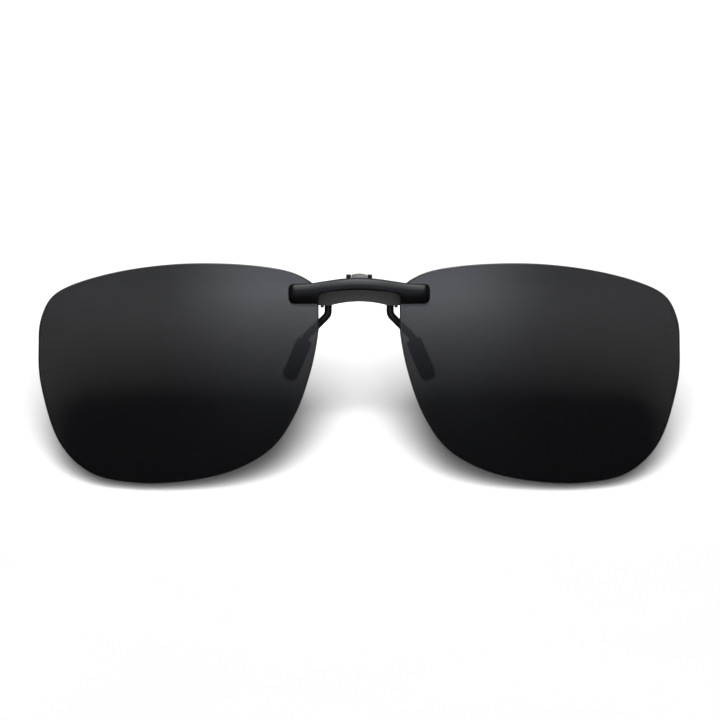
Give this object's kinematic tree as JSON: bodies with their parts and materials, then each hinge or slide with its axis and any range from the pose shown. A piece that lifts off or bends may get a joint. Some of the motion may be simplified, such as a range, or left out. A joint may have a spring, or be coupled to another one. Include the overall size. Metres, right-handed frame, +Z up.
{
  "type": "clip-on sunglasses",
  "caption": "Rimless clip-on sunglasses: smoke lenses on an arched bridge bar, with a sprung pinch clamp and padded wire arms that grip spectacles.",
  "frame": {"origin": "on the mid plane, in the plane of the two bumper faces that rest on the host spectacles, level with the middle of the bridge bar's ends", "axes": "+Z up as worn, +X across the face to the right as seen from the front, -Y towards the front; left is -X"},
  "size_m": [0.14, 0.0128, 0.0485],
  "materials": {
    "smoke_lens": "polished smoke-grey polarised sheet",
    "moulded_black": "satin black moulding",
    "black_plate": "matt dark-grey coated steel",
    "black_wire": "satin black coated wire",
    "satin_nickel": "satin nickel",
    "steel": "bright drawn steel",
    "pad_rubber": "matt soft rubber",
    "silicone": "matt silicone",
    "nylon": "natural nylon"
  },
  "bodies": {
    "front": {"bridge_bar": "moulded_black", "bridge_back_cover": "moulded_black", "left_lens": "smoke_lens", "right_lens": "smoke_lens", "left_inner_lens_screw": "steel", "left_outer_lens_screw": "steel", "right_inner_lens_screw": "steel", "right_outer_lens_screw": "steel", "left_lens_bushes": "nylon", "right_lens_bushes": "nylon", "left_bumper": "silicone", "right_bumper": "silicone", "hinge_pin": "steel", "left_torsion_spring": "steel", "right_torsion_spring": "steel"},
    "clamp": {"clamp_plate": "black_plate", "thumb_lever": "satin_nickel", "lever_rivets": "steel", "left_arm_clasp": "black_plate", "right_arm_clasp": "black_plate", "left_arm": "black_wire", "right_arm": "black_wire", "left_pad": "pad_rubber", "right_pad": "pad_rubber"}
  },
  "joints": [
    {"name": "clamp_hinge", "type": "hinge", "parent": "front", "child": "clamp", "pos_m": [0, 0.001, 0.0019], "axis": [1, 0, 0], "range_deg": [0, 30], "stiffness_Nm_per_rad": 0.02, "springref_deg": -57.3, "deforming": ["left_torsion_spring", "right_torsion_spring"]}
  ]
}
